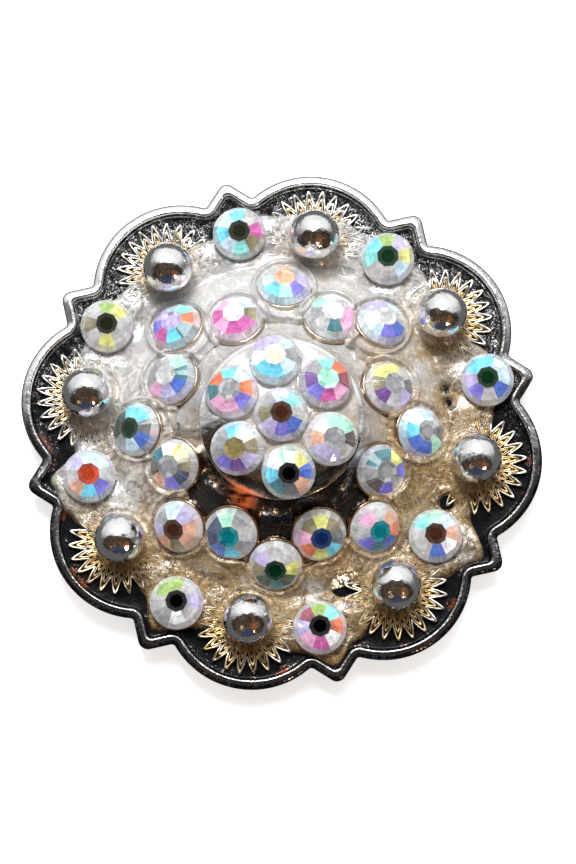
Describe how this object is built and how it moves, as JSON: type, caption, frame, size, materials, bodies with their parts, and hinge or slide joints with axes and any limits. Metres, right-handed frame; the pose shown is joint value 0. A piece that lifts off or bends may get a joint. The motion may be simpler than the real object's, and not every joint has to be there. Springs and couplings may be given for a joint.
{
  "type": "western berry concho with cut stones",
  "caption": "Round scalloped concho with a raised stone dome, ball and sunburst relief, clear cut stones and a threaded post behind, for belts, bags and tack.",
  "frame": {"origin": "on the axis in the back plane, where the concho rests", "axes": "+Z along the axis, out of the front; +X through the tip of one point of the outline"},
  "size_m": [0.038, 0.038, 0.0098],
  "materials": {
    "plated_casting": "bright silver plate with a blackened floor",
    "steel_post": "turned",
    "clear_glue": "clear cast resin",
    "crystal": "iridescent coated glass"
  },
  "bodies": {
    "root": {"cast_plate": "plated_casting", "screw_post": "steel_post", "clear_glue": "clear_glue", "outer_crystal_1": "crystal", "outer_crystal_2": "crystal", "outer_crystal_3": "crystal", "outer_crystal_4": "crystal", "outer_crystal_5": "crystal", "outer_crystal_6": "crystal", "outer_crystal_7": "crystal", "outer_crystal_8": "crystal", "mid_outer_crystal_1": "crystal", "mid_outer_crystal_2": "crystal", "mid_outer_crystal_3": "crystal", "mid_outer_crystal_4": "crystal", "mid_outer_crystal_5": "crystal", "mid_outer_crystal_6": "crystal", "mid_outer_crystal_7": "crystal", "mid_outer_crystal_8": "crystal", "mid_inner_crystal_1": "crystal", "mid_inner_crystal_2": "crystal", "mid_inner_crystal_3": "crystal", "mid_inner_crystal_4": "crystal", "mid_inner_crystal_5": "crystal", "mid_inner_crystal_6": "crystal", "mid_inner_crystal_7": "crystal", "mid_inner_crystal_8": "crystal", "centre_crystal_1": "crystal", "centre_crystal_2": "crystal", "centre_crystal_3": "crystal", "centre_crystal_4": "crystal", "centre_crystal_5": "crystal", "centre_crystal_6": "crystal", "centre_crystal_7": "crystal"}
  },
  "joints": []
}
